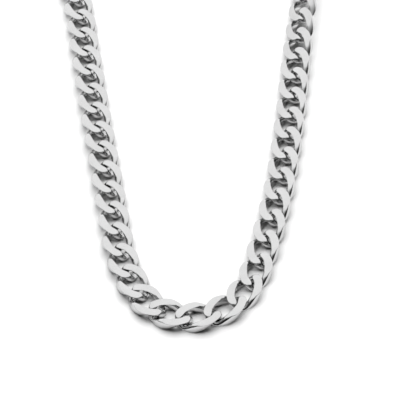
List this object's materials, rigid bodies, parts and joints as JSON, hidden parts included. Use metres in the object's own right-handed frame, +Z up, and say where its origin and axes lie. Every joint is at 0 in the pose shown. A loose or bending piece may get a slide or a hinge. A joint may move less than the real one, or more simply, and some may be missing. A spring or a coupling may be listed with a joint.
{
  "type": "curb chain necklace",
  "caption": "Closed loop of flat-ground interlocking curb links with a plain box clasp, lying on a surface, worn round the neck",
  "frame": {"origin": "middle of the closed loop's box in plan, on the surface that the chain lies on", "axes": "+Z is up from that surface, +Y runs along the loop from the front of the necklace to the clasp at the back of the neck, +X is to the right seen from above"},
  "size_m": [0.0992, 0.2428, 0.0083],
  "materials": {
    "links": "bright polish, ground flats",
    "clasp_metal": "bright polish"
  },
  "bodies": {
    "root": {"chain_left": "links", "chain_right": "links", "clasp": "clasp_metal"}
  },
  "joints": []
}
